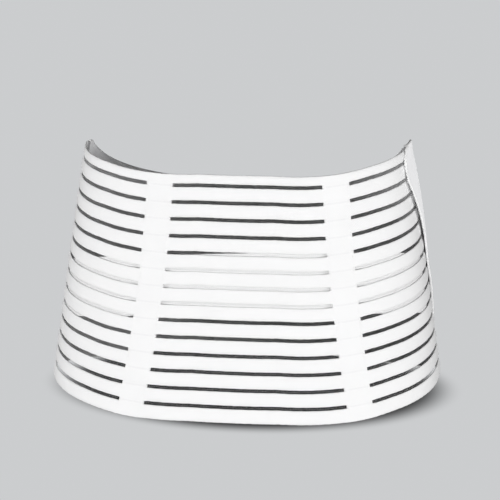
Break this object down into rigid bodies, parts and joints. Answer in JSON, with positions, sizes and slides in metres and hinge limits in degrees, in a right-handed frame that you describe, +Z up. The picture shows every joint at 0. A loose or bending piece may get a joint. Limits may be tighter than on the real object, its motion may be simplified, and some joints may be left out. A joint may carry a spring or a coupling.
{
  "type": "maternity support belt",
  "caption": "Wide white elastic support belt in its worn round form, with sheer horizontal rows, two stay casings, an inner band and overlapped front panels.",
  "frame": {"origin": "middle of the opening that the waist fills, on the widest plane, at half the belt's height", "axes": "+Z up along the opening, +Y towards the wearer's front, +X to the right when the back is looked at"},
  "size_m": [0.3819, 0.2566, 0.2664],
  "materials": {
    "striped_elastic": "soft white knitted elastic with sheer rows",
    "casing_tape": "matt white woven tape",
    "band_elastic": "matt white ribbed elastic",
    "panel_cloth": "smooth brushed white cloth laminated on foam",
    "hook_tape": "white hook tape"
  },
  "bodies": {
    "root": {"striped_elastic": "striped_elastic", "stay_casing_left": "casing_tape", "stay_casing_right": "casing_tape", "inner_support_band": "band_elastic", "front_panel_right": "panel_cloth", "front_panel_left": "panel_cloth", "hook_tab": "hook_tape"}
  },
  "joints": []
}
